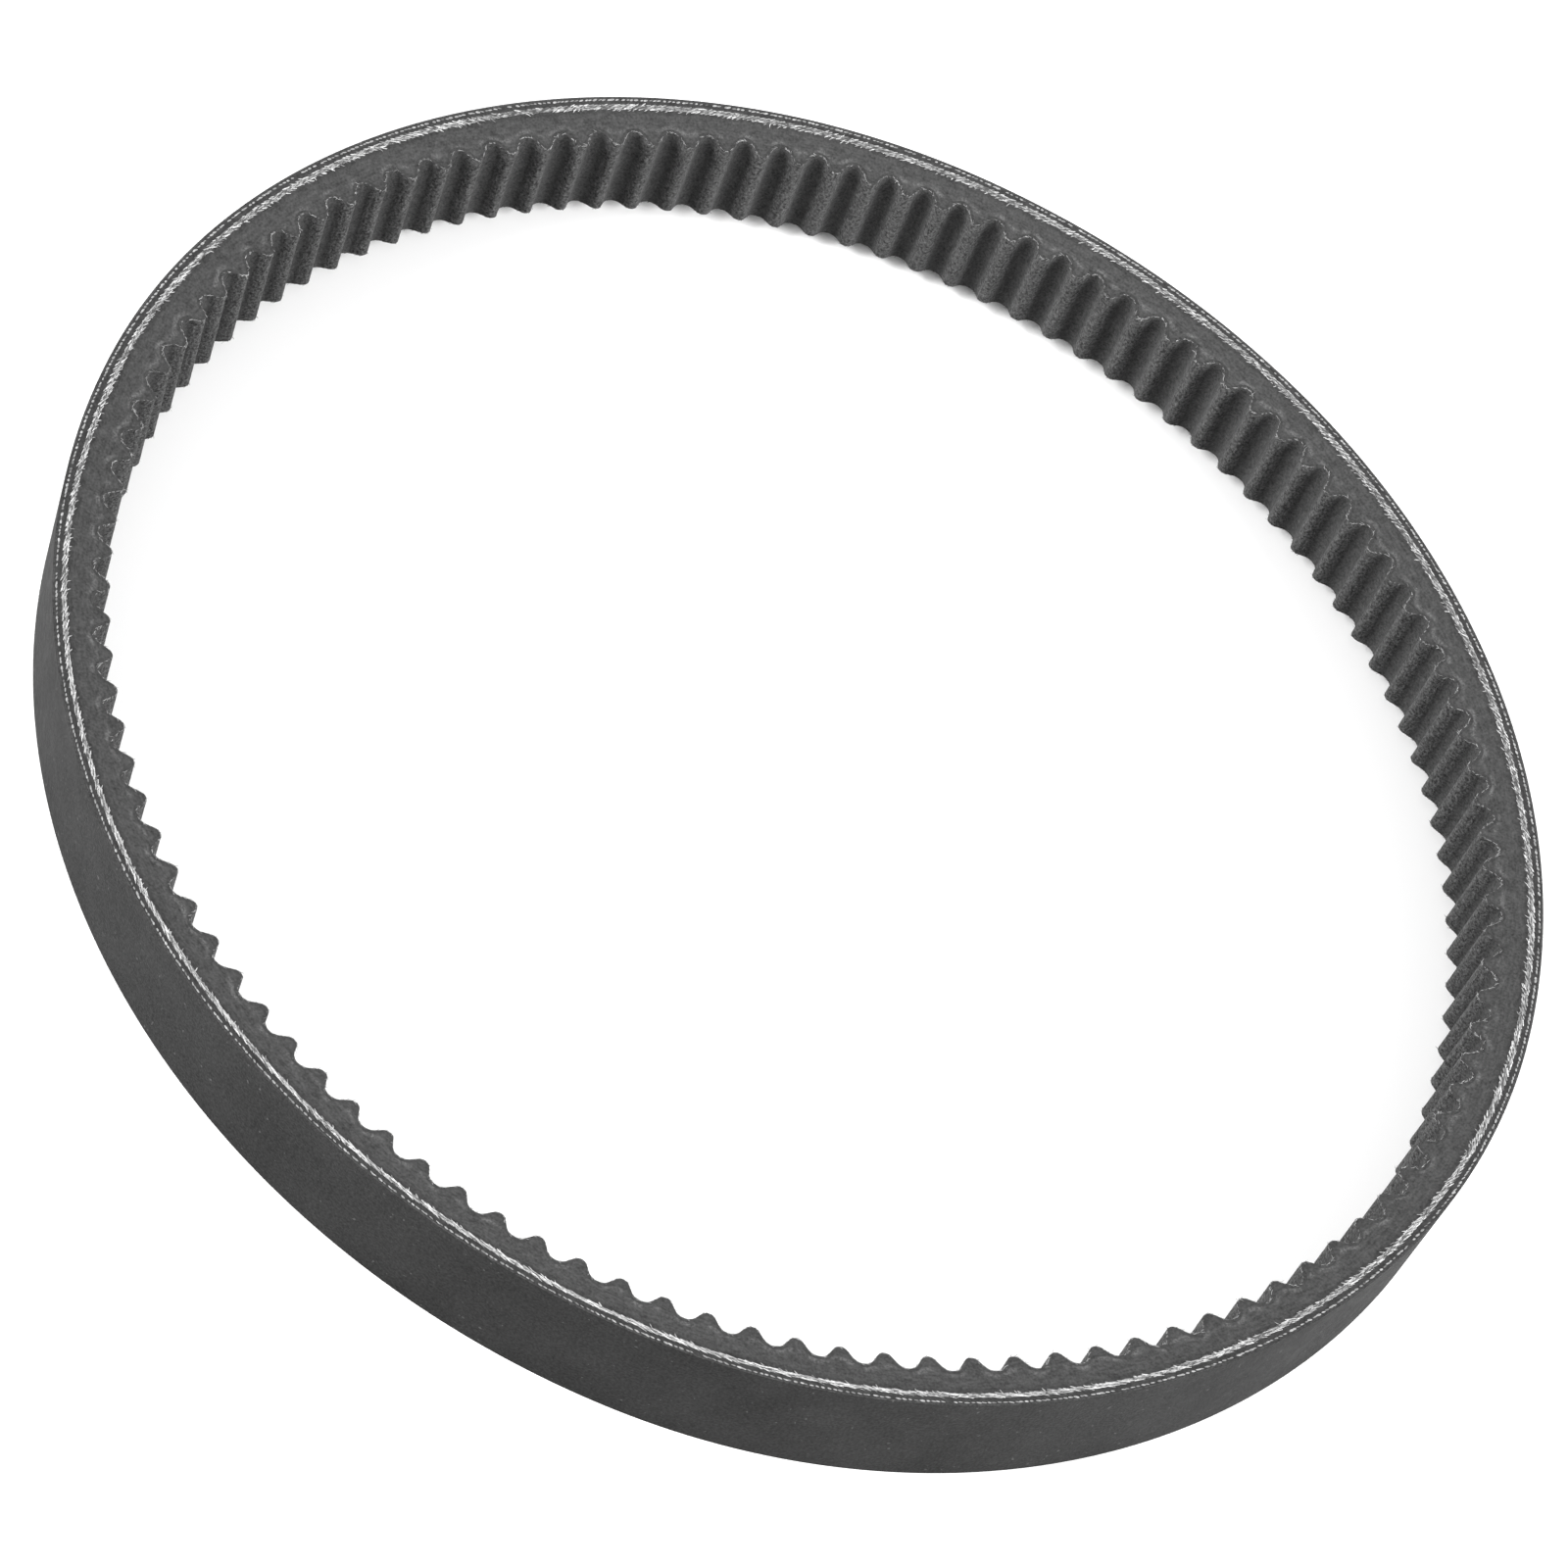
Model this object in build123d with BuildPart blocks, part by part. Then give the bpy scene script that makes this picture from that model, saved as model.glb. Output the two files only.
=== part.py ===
"""Raw-edge cogged V-belt for a variable-speed drive, lying on one flank side.

The belt is an endless bonded laminate. Every layer of it is one piece here, and each piece fills the
space that its neighbours leave, face to face. The loop lies in the XY plane, centred on the origin,
with its longer diameter along X. Depths are measured inwards from the cord line, the line on which
the belt neither stretches nor shortens when it bends.
"""
from build123d import *
from math import asin, atan2, cos, hypot, pi, radians, sin, tan
import os

os.makedirs("parts", exist_ok=True)

# Driving dimensions, in millimetres and degrees.
cog_count = 110
cog_pitch = 10.0  # from cog to cog along the cord line
loop_flattening = 25.5  # how much larger the radius of the two sides is than that of the two ends
top_width = 30.0  # across the back, where the belt is widest
flank_angle = 15.0  # of each flank from the square
back_height = 2.7  # from the cord line out to the back
belt_thickness = 13.0  # from the back to the cog tips
cog_height = 3.7
cog_tip_radius = 1.7
cog_valley_radius = 2.6
facing_thickness = 0.9  # fabric over the cogs
back_fabric_thickness = 0.4  # each of the two plies on the back
back_skim_thickness = 0.2  # rubber between the two plies
cord_diameter = 1.7
winding_spacing = 2.0  # nominal, from one turn of the cord to the next
cut_cord_inset = 0.3  # centre of the trimmed outermost turns, in from the flank
undercord_rubber_thickness = 1.9  # soft rubber from the cord line inwards

# The loop is four tangent arcs, each a quarter turn: two ends and two flatter sides.
loop_length = cog_count * cog_pitch
side_radius = (loop_length / pi + loop_flattening) / 2
end_radius = side_radius - loop_flattening
centre_shift = loop_flattening * sin(radians(45))
quarter_turn = 90
end_length = end_radius * radians(quarter_turn)
side_length = side_radius * radians(quarter_turn)
# Each arc: its centre, its radius and the direction in degrees of its first point.
loop_arcs = [
    (Vector(centre_shift, 0), end_radius, -45),
    (Vector(0, -centre_shift), side_radius, 45),
    (Vector(-centre_shift, 0), end_radius, 135),
    (Vector(0, centre_shift), side_radius, 225),
]

# Layer boundaries as depths from the cord line, outwards negative.
back_depth = -back_height
outer_ply_depth = back_depth + back_fabric_thickness
skim_depth = outer_ply_depth + back_skim_thickness
inner_ply_depth = skim_depth + back_fabric_thickness
tip_depth = belt_thickness - back_height
valley_depth = tip_depth - cog_height
tip_centre_depth = tip_depth - cog_tip_radius
valley_centre_depth = valley_depth + cog_valley_radius

# Cord turns, spread evenly between the two trimmed ones.
cord_radius = cord_diameter / 2


def half_width(depth):
    """Half of the belt's width at a depth."""
    return top_width / 2 - (back_height + depth) * tan(radians(flank_angle))


cut_turn_offset = half_width(0) - cut_cord_inset
turn_gaps = round(cut_turn_offset / winding_spacing)
turn_spacing = cut_turn_offset / turn_gaps
whole_turn_offsets = [turn_spacing * turn for turn in range(1 - turn_gaps, turn_gaps)]


def loop_point(distance, depth):
    """Point at a distance along the cord line from the +X end, moved inwards by a depth."""
    travelled = (distance + end_length / 2) % loop_length
    for centre, radius, start in loop_arcs:
        arc_length = radius * radians(quarter_turn)
        if travelled <= arc_length:
            break
        travelled -= arc_length
    heading = radians(start) + travelled / radius
    return centre + Vector(cos(heading), sin(heading)) * (radius - depth)


def crossing_line(first, second, first_radius, second_radius, side):
    """Ends of the straight flank that crosses from one cog circle to the next.

    side is 1 where the flank leaves a tip for a valley and -1 where it leaves a valley for a tip.
    """
    gap = second - first
    span = hypot(gap.X, gap.Y)
    heading = atan2(gap.Y, gap.X) - side * asin((first_radius + second_radius) / span)
    left = Vector(-sin(heading), cos(heading)) * side
    return first + left * first_radius, second - left * second_radius


def draw_cogs(setback):
    """Closed outline of the cogs, set back into the rubber by a distance from their surface.

    The middle of the first valley lies at the +X end of the loop.
    """
    tip_radius = cog_tip_radius - setback
    valley_radius = cog_valley_radius + setback
    flanks = []
    for cog in range(cog_count):
        valley = loop_point(cog * cog_pitch, valley_centre_depth)
        tip = loop_point((cog + 0.5) * cog_pitch, tip_centre_depth)
        next_valley = loop_point((cog + 1) * cog_pitch, valley_centre_depth)
        flanks.append(crossing_line(valley, tip, valley_radius, tip_radius, -1))
        flanks.append(crossing_line(tip, next_valley, tip_radius, valley_radius, 1))
    for index, (start, end) in enumerate(flanks):
        next_start = flanks[(index + 1) % len(flanks)][0]
        crest_depth = tip_depth if index % 2 == 0 else valley_depth
        crest = loop_point((index + 1) * cog_pitch / 2, crest_depth - setback)
        Line(start, end)
        ThreePointArc(end, crest, next_start)


def draw_layer(outer_depth, inner_depth, mode=Mode.ADD):
    """Section of a layer from flank to flank. The section's X axis points outwards."""
    outer_half = half_width(outer_depth)
    inner_half = half_width(inner_depth)
    Polygon(
        (-outer_depth, -outer_half),
        (-outer_depth, outer_half),
        (-inner_depth, inner_half),
        (-inner_depth, -inner_half),
        align=None,
        mode=mode,
    )


def draw_turns(offsets, mode=Mode.ADD):
    """Sections of cord turns on the cord line, each at its own height."""
    with Locations(*[(0, offset) for offset in offsets]):
        Circle(cord_radius, mode=mode)


def draw_rubber_around_cord(outer_depth, inner_depth):
    """Section of a layer that holds half of every cord turn in its grooves."""
    draw_layer(outer_depth, inner_depth)
    draw_turns(whole_turn_offsets + [-cut_turn_offset, cut_turn_offset], mode=Mode.SUBTRACT)


def draw_cut_turn(side):
    """Section of an outermost turn, trimmed level with the flank. side is 1 above, -1 below."""
    draw_turns([side * cut_turn_offset])
    draw_layer(-cord_diameter, cord_diameter, mode=Mode.INTERSECT)


def revolve_round_loop(draw_section, *sizes):
    """Carry a section round the four arcs of the loop."""
    for centre, radius, start in loop_arcs:
        outward = Vector(cos(radians(start)), sin(radians(start)))
        section_plane = Plane(
            origin=centre + outward * radius,
            x_dir=outward,
            z_dir=outward.cross(Vector(0, 0, 1)),
        )
        with BuildSketch(section_plane) as section:
            draw_section(*sizes)
        revolve(section.sketch, axis=Axis(centre, (0, 0, 1)), revolution_arc=quarter_turn)


def finish(piece, label):
    """Name a finished piece and write it."""
    piece.part.label = label
    export_step(piece.part, f"parts/{label}.step")


# Fabric plies on the back, with a skim of rubber between them.
with BuildPart() as outer_back_fabric:
    revolve_round_loop(draw_layer, back_depth, outer_ply_depth)
finish(outer_back_fabric, "outer_back_fabric")

with BuildPart() as back_skim_rubber:
    revolve_round_loop(draw_layer, outer_ply_depth, skim_depth)
finish(back_skim_rubber, "back_skim_rubber")

with BuildPart() as inner_back_fabric:
    revolve_round_loop(draw_layer, skim_depth, inner_ply_depth)
finish(inner_back_fabric, "inner_back_fabric")

# Soft rubber above and below the cord line. The two meet on it, between the cord turns.
with BuildPart() as overcord_rubber:
    revolve_round_loop(draw_rubber_around_cord, inner_ply_depth, 0)
finish(overcord_rubber, "overcord_rubber")

with BuildPart() as undercord_rubber:
    revolve_round_loop(draw_rubber_around_cord, 0, undercord_rubber_thickness)
finish(undercord_rubber, "undercord_rubber")

# The tensile cord: whole turns inside the rubber, and one trimmed turn in each flank.
with BuildPart() as tensile_cord_windings:
    revolve_round_loop(draw_turns, whole_turn_offsets)
finish(tensile_cord_windings, "tensile_cord_windings")

with BuildPart() as upper_flank_cut_cord:
    revolve_round_loop(draw_cut_turn, 1)
finish(upper_flank_cut_cord, "upper_flank_cut_cord")

with BuildPart() as lower_flank_cut_cord:
    revolve_round_loop(draw_cut_turn, -1)
finish(lower_flank_cut_cord, "lower_flank_cut_cord")

# The space inside the rubber cogs, and the space left inside their fabric facing.
with BuildSketch() as inside_rubber_cogs:
    with BuildLine():
        draw_cogs(facing_thickness)
    make_face()

with BuildSketch() as inside_facing:
    with BuildLine():
        draw_cogs(0)
    make_face()

# The cogs are cut from a layer that runs past their tips.
blank_depth = tip_depth + cog_height

with BuildPart() as compression_rubber:
    revolve_round_loop(draw_layer, undercord_rubber_thickness, blank_depth)
    extrude(inside_rubber_cogs.sketch, amount=top_width / 2, both=True, mode=Mode.SUBTRACT)
finish(compression_rubber, "compression_rubber")

with BuildPart() as cog_facing_fabric:
    revolve_round_loop(draw_layer, undercord_rubber_thickness, blank_depth)
    extrude(inside_rubber_cogs.sketch, amount=top_width / 2, both=True, mode=Mode.INTERSECT)
    extrude(inside_facing.sketch, amount=top_width / 2, both=True, mode=Mode.SUBTRACT)
finish(cog_facing_fabric, "cog_facing_fabric")
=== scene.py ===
"""Looks of a raw-edge cogged V-belt, built round its packed layers.

The belt is modelled unrolled, as it is before its ends are joined, and then wrapped round the loop.
Unrolled, X runs along the cord line, Y runs from the cord line inwards to the cogs, and Z runs across
the belt. Lengths are in metres.
"""
import logging
import math
import random
from dataclasses import astuple, dataclass, field
from enum import Enum
from typing import Any, Callable

import bpy
import numpy as np
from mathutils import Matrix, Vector


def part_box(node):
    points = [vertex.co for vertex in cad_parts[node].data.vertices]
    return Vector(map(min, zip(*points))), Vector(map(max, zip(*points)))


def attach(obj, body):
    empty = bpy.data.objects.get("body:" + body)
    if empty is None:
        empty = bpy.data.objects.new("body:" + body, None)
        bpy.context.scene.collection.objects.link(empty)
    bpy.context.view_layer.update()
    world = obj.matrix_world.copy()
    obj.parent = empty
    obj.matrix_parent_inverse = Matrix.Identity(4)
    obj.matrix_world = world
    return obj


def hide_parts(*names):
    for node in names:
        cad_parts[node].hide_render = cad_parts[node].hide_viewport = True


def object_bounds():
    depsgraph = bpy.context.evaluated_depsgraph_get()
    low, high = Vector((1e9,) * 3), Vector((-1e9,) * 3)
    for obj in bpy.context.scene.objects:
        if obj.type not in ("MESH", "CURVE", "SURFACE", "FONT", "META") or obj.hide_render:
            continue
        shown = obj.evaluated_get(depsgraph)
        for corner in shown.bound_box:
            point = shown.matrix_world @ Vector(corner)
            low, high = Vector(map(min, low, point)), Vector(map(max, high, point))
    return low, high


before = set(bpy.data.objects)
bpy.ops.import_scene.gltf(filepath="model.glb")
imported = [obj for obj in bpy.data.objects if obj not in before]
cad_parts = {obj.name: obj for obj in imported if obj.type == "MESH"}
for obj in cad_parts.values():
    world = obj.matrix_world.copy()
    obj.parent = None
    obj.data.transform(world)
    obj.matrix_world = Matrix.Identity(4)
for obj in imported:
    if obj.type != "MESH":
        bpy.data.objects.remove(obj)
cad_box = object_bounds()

log = logging.getLogger("belt")
MM = 0.001
MERGE_GAP = 0.01 * MM
HALF_QUARTER_SINE = math.sin(math.pi / 4)
PLACE_LAYER = "place"
TONE_LAYER = "tone"
SHEEN_ROUGHNESS = 0.6
YARN_SMOOTH_ANGLE = 60.0


class Side(Enum):
    """The two ground flanks of the belt."""

    UPPER = 1
    LOWER = -1


# ---- The loop and the belt's section ----


@dataclass
class Loop:
    """Cord line of the belt: two end arcs and two side arcs, each a quarter turn."""

    end_radius: float
    side_radius: float

    @classmethod
    def from_frame(cls) -> "Loop":
        """Work the arcs out from the layer whose outer face lies on the cord line.

        Returns:
            The loop of the cord line.
        """
        _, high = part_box("undercord_rubber")
        flattening = (high.x - high.y) / (2 * HALF_QUARTER_SINE - 1)
        side_radius = (high.x + high.y + flattening) / 2
        return cls(end_radius=side_radius - flattening, side_radius=side_radius)

    @property
    def length(self) -> float:
        """Length of the cord line."""
        return math.pi * (self.end_radius + self.side_radius)

    def arcs(self) -> list[tuple[float, float, float, float]]:
        """List the arcs in the order in which the belt runs through them.

        Returns:
            For each arc its centre X, centre Y, radius and first heading in degrees.
        """
        shift = (self.side_radius - self.end_radius) * HALF_QUARTER_SINE
        return [
            (shift, 0.0, self.end_radius, -45.0),
            (0.0, -shift, self.side_radius, 45.0),
            (-shift, 0.0, self.end_radius, 135.0),
            (0.0, shift, self.side_radius, 225.0),
        ]

    def wrap(self, places: np.ndarray) -> np.ndarray:
        """Carry unrolled places onto the loop.

        Args:
            places: rows of distance along the cord line, depth from it and height.

        Returns:
            Rows of X, Y and Z in the belt's frame.
        """
        first_half = self.end_radius * math.pi / 4
        travelled = np.mod(places[:, 0] + first_half, self.length)
        wrapped = np.array(places, float)
        start = 0.0
        for centre_x, centre_y, radius, heading in self.arcs():
            reach = radius * math.pi / 2
            on_arc = (travelled >= start) & (travelled <= start + reach)
            angle = math.radians(heading) + (travelled[on_arc] - start) / radius
            distance = radius - places[on_arc, 1]
            wrapped[on_arc, 0] = centre_x + distance * np.cos(angle)
            wrapped[on_arc, 1] = centre_y + distance * np.sin(angle)
            start += reach
        return wrapped


@dataclass
class Section:
    """Sizes of the belt's section, with depths from the cord line inwards."""

    cog_count: int = 110
    flank_angle: float = 15.0
    cog_height: float = 3.7 * MM
    tip_radius: float = 1.7 * MM
    valley_radius: float = 2.6 * MM
    facing: float = 0.9 * MM
    thickness: float = 13.0 * MM
    cord_radius: float = 0.85 * MM
    cut_cord_inset: float = 0.3 * MM
    pitch: float = field(init=False)
    back: float = field(init=False)
    half_back: float = field(init=False)
    depths: dict[str, float] = field(init=False)

    def __post_init__(self) -> None:
        """Read the layers' depths and the belt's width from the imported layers."""
        cord_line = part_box("undercord_rubber")[1].x
        self.depths = {name: cord_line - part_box(name)[1].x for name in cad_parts}
        self.back = self.depths["outer_back_fabric"]
        self.half_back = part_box("outer_back_fabric")[1].z
        self.pitch = Loop.from_frame().length / self.cog_count

    @property
    def tip(self) -> float:
        """Depth of the cog tips."""
        return self.back + self.thickness

    @property
    def valley(self) -> float:
        """Depth of the valleys between the cogs."""
        return self.tip - self.cog_height

    def half_width(self, depth: float) -> float:
        """Half of the belt's width at a depth."""
        return self.half_back - (depth - self.back) * self.flank_rise()

    def flank_rise(self) -> float:
        """How far the flank turns in for each unit of depth."""
        return math.tan(math.radians(self.flank_angle))


# ---- Shaders ----


class Signal:
    """One shader socket, with arithmetic that adds Math nodes."""

    def __init__(self, sheet: "Finish", socket: bpy.types.NodeSocket) -> None:
        """Wrap a socket of a finish's node tree."""
        self.sheet = sheet
        self.socket = socket

    def math(self, operation: str, *others: Any) -> "Signal":
        """Add a Math node that starts from this socket."""
        inputs = {0: self} | {place + 1: other for place, other in enumerate(others)}
        return self.sheet.node("ShaderNodeMath", {"operation": operation}, inputs)

    def swapped(self, operation: str, other: float) -> "Signal":
        """Add a Math node that starts from a number and ends in this socket."""
        return self.sheet.node("ShaderNodeMath", {"operation": operation}, {0: other, 1: self})

    def __add__(self, other: Any) -> "Signal":
        """Sum."""
        return self.math("ADD", other)

    def __radd__(self, other: float) -> "Signal":
        """Sum, from the right."""
        return self.swapped("ADD", other)

    def __sub__(self, other: Any) -> "Signal":
        """Difference."""
        return self.math("SUBTRACT", other)

    def __rsub__(self, other: float) -> "Signal":
        """Difference, from the right."""
        return self.swapped("SUBTRACT", other)

    def __mul__(self, other: Any) -> "Signal":
        """Product."""
        return self.math("MULTIPLY", other)

    def __rmul__(self, other: float) -> "Signal":
        """Product, from the right."""
        return self.swapped("MULTIPLY", other)

    def above(self, low: float, high: float) -> "Signal":
        """Rise smoothly from 0 to 1 between two values."""
        ends = {"Value": self, "From Min": low, "From Max": high, "To Min": 0.0, "To Max": 1.0}
        return self.sheet.node("ShaderNodeMapRange", {"interpolation_type": "SMOOTHSTEP"}, ends)


class Finish:
    """A material under construction, with one method that adds any node."""

    def __init__(self, name: str) -> None:
        """Start an empty material.

        Args:
            name: the material's name.
        """
        self.material = bpy.data.materials.new(name)
        self.material.use_nodes = True
        self.tree = self.material.node_tree
        self.tree.nodes.clear()

    def node(self, kind: str, settings: dict, inputs: dict, output: Any = 0) -> Signal | None:
        """Add a node.

        Args:
            kind: the node's type.
            settings: its properties, set first.
            inputs: values or signals for its sockets, by name or number.
            output: the socket to give back.

        Returns:
            The chosen output socket, or None where the node has none.
        """
        made = self.tree.nodes.new(kind)
        for name, value in settings.items():
            setattr(made, name, value)
        for name, value in inputs.items():
            if isinstance(value, Signal):
                self.tree.links.new(value.socket, made.inputs[name])
            else:
                made.inputs[name].default_value = value
        return Signal(self, made.outputs[output]) if made.outputs else None

    def place(self) -> tuple[Signal, Signal, Signal]:
        """Read the unrolled place of a point.

        Returns:
            Its distance along the belt, its depth and its height, in millimetres.
        """
        vector = self.node("ShaderNodeAttribute", {"attribute_name": PLACE_LAYER}, {}, "Vector")
        split = self.node("ShaderNodeSeparateXYZ", {}, {0: vector})
        outputs = split.socket.node.outputs
        return Signal(self, outputs[0]), Signal(self, outputs[1]), Signal(self, outputs[2])

    def tone(self) -> Signal:
        """Shade that a piece's own attribute gives to each part of it."""
        return self.node("ShaderNodeAttribute", {"attribute_name": TONE_LAYER}, {}, "Fac")

    def noise(self, size: float, detail: float = 2.0, vector: Signal | None = None,
              stretch: float = 0.0) -> Signal:
        """Add solid noise.

        Args:
            size: size of its blotches in metres, or in the units of the vector.
            detail: number of finer layers.
            vector: the coordinates, or None for the object's own.
            stretch: distortion of the blotches.

        Returns:
            A value around 0.5.
        """
        if vector is None:
            vector = self.node("ShaderNodeTexCoord", {}, {}, "Object")
        inputs = {"Vector": vector, "Scale": 1 / size, "Detail": detail, "Distortion": stretch}
        return self.node("ShaderNodeTexNoise", {}, inputs, "Fac")

    def vector(self, x: Signal, y: Signal, z: Any = 0.0) -> Signal:
        """Join three values into coordinates."""
        return self.node("ShaderNodeCombineXYZ", {}, {0: x, 1: y, 2: z})

    def grey(self, value: Signal) -> Signal:
        """Turn a value into a neutral colour."""
        return self.node("ShaderNodeCombineColor", {}, {0: value, 1: value, 2: value})

    def bump(self, height: Signal, strength: float, distance: float,
             over: Signal | None = None) -> Signal:
        """Add a bump.

        Args:
            height: the relief.
            strength: its share.
            distance: the relief's height in metres.
            over: a normal that it is added to.

        Returns:
            The new normal.
        """
        inputs = {"Height": height, "Strength": strength, "Distance": distance}
        if over is not None:
            inputs["Normal"] = over
        return self.node("ShaderNodeBump", {}, inputs)

    def surface(self, shade: Signal, roughness: Any, normal: Signal, gloss: float,
                sheen: float = 0.0) -> bpy.types.Material:
        """Close the material with its shader.

        Args:
            shade: its neutral base colour.
            roughness: a number or a signal.
            normal: the surface's normal.
            gloss: specular level.
            sheen: weight of the soft fibre sheen.

        Returns:
            The finished material.
        """
        inputs = {"Base Color": self.grey(shade), "Roughness": roughness, "Normal": normal,
                  "Specular IOR Level": gloss, "Sheen Weight": sheen,
                  "Sheen Roughness": SHEEN_ROUGHNESS}
        shader = self.node("ShaderNodeBsdfPrincipled", {}, inputs)
        self.node("ShaderNodeOutputMaterial", {}, {"Surface": shader})
        return self.material


# ---- Modelling, unrolled ----


class Workpiece:
    """One piece of the belt: a cell is shaped in edit mode, repeated, and wrapped round the loop."""

    def __init__(self, name: str, loop: Loop, section: Section) -> None:
        """Name the piece.

        Args:
            name: the piece's name.
            loop: the loop that it is wrapped round.
            section: the belt's section.
        """
        self.name = name
        self.loop = loop
        self.section = section
        self.object: bpy.types.Object | None = None

    def take(self) -> None:
        """Take up the primitive that was just added and open it for editing."""
        self.object = bpy.context.object
        self.object.name = self.name
        self.object.data.name = self.name
        bpy.ops.object.transform_apply(location=True, rotation=True, scale=True)
        bpy.ops.object.mode_set(mode="EDIT")
        bpy.ops.mesh.select_all(action="SELECT")

    def pick(self, kind: str, test: Callable[[Vector], bool]) -> None:
        """Select vertices or faces by their place.

        Args:
            kind: "vertices" or "polygons".
            test: says whether a vertex's place or a face's centre is wanted.
        """
        bpy.ops.mesh.select_mode(type="VERT" if kind == "vertices" else "FACE")
        bpy.ops.mesh.select_all(action="DESELECT")
        bpy.ops.object.mode_set(mode="OBJECT")
        mesh = self.object.data
        for element in getattr(mesh, kind):
            element.select = test(element.co if kind == "vertices" else element.center)
        bpy.ops.object.mode_set(mode="EDIT")

    def extrude(self, x: float = 0.0, y: float = 0.0, z: float = 0.0) -> None:
        """Extrude what is selected by a move."""
        bpy.ops.mesh.extrude_region_move(TRANSFORM_OT_translate={"value": (x, y, z)})

    def stretch(self, value: tuple[float, float, float], about: tuple[float, float, float]) -> None:
        """Scale what is selected about a point."""
        bpy.ops.transform.resize(value=value, center_override=about)

    def trim_flanks(self) -> None:
        """Cut the cell along both flanks and close the cuts."""
        rise = self.section.flank_rise()
        for side in Side:
            bpy.ops.mesh.select_all(action="SELECT")
            bpy.ops.mesh.bisect(
                plane_co=(0, 0, side.value * self.section.half_width(0)),
                plane_no=(0, rise, side.value),
                clear_outer=True,
                use_fill=True,
            )

    def open_ends(self, width: float) -> None:
        """Remove the faces where one cell of a given width meets the next."""
        self.pick("polygons", lambda at: at.x < MERGE_GAP or at.x > width - MERGE_GAP)
        bpy.ops.mesh.delete(type="FACE")

    def modify(self, kind: str, **settings: Any) -> None:
        """Add a modifier in object mode and apply it.

        Args:
            kind: the modifier's type.
            settings: its properties.
        """
        bpy.ops.object.mode_set(mode="OBJECT")
        modifier = self.object.modifiers.new(kind.title(), kind)
        for name, value in settings.items():
            setattr(modifier, name, value)
        bpy.ops.object.modifier_apply(modifier=modifier.name)

    def repeat(self, count: int, step: float) -> None:
        """Copy the cell along the belt and join the copies.

        Args:
            count: number of cells.
            step: distance from one to the next.
        """
        self.modify(
            "ARRAY",
            count=count,
            use_relative_offset=False,
            use_constant_offset=True,
            constant_offset_displace=(step, 0, 0),
            use_merge_vertices=True,
            merge_threshold=MERGE_GAP,
        )

    def wrap(self, smooth_angle: float = 38.0) -> bpy.types.Object:
        """Keep every corner's unrolled place, wrap the piece round the loop and close its seam.

        Args:
            smooth_angle: the sharpest edge in degrees that is shaded smooth.

        Returns:
            The finished object.
        """
        mesh = self.object.data
        places = np.empty(len(mesh.vertices) * 3)
        mesh.vertices.foreach_get("co", places)
        places = places.reshape(-1, 3)
        corners = np.empty(len(mesh.loops), int)
        mesh.loops.foreach_get("vertex_index", corners)
        kept = mesh.attributes.new(PLACE_LAYER, "FLOAT_VECTOR", "CORNER")
        kept.data.foreach_set("vector", (places[corners] / MM).astype(np.float32).ravel())
        mesh.vertices.foreach_set("co", self.loop.wrap(places).ravel())
        mesh.update()
        bpy.ops.object.mode_set(mode="EDIT")
        bpy.ops.mesh.select_all(action="SELECT")
        bpy.ops.mesh.remove_doubles(threshold=MERGE_GAP)
        bpy.ops.mesh.normals_make_consistent(inside=False)
        bpy.ops.object.mode_set(mode="OBJECT")
        bpy.ops.object.shade_smooth_by_angle(angle=math.radians(smooth_angle))
        return self.object


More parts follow.
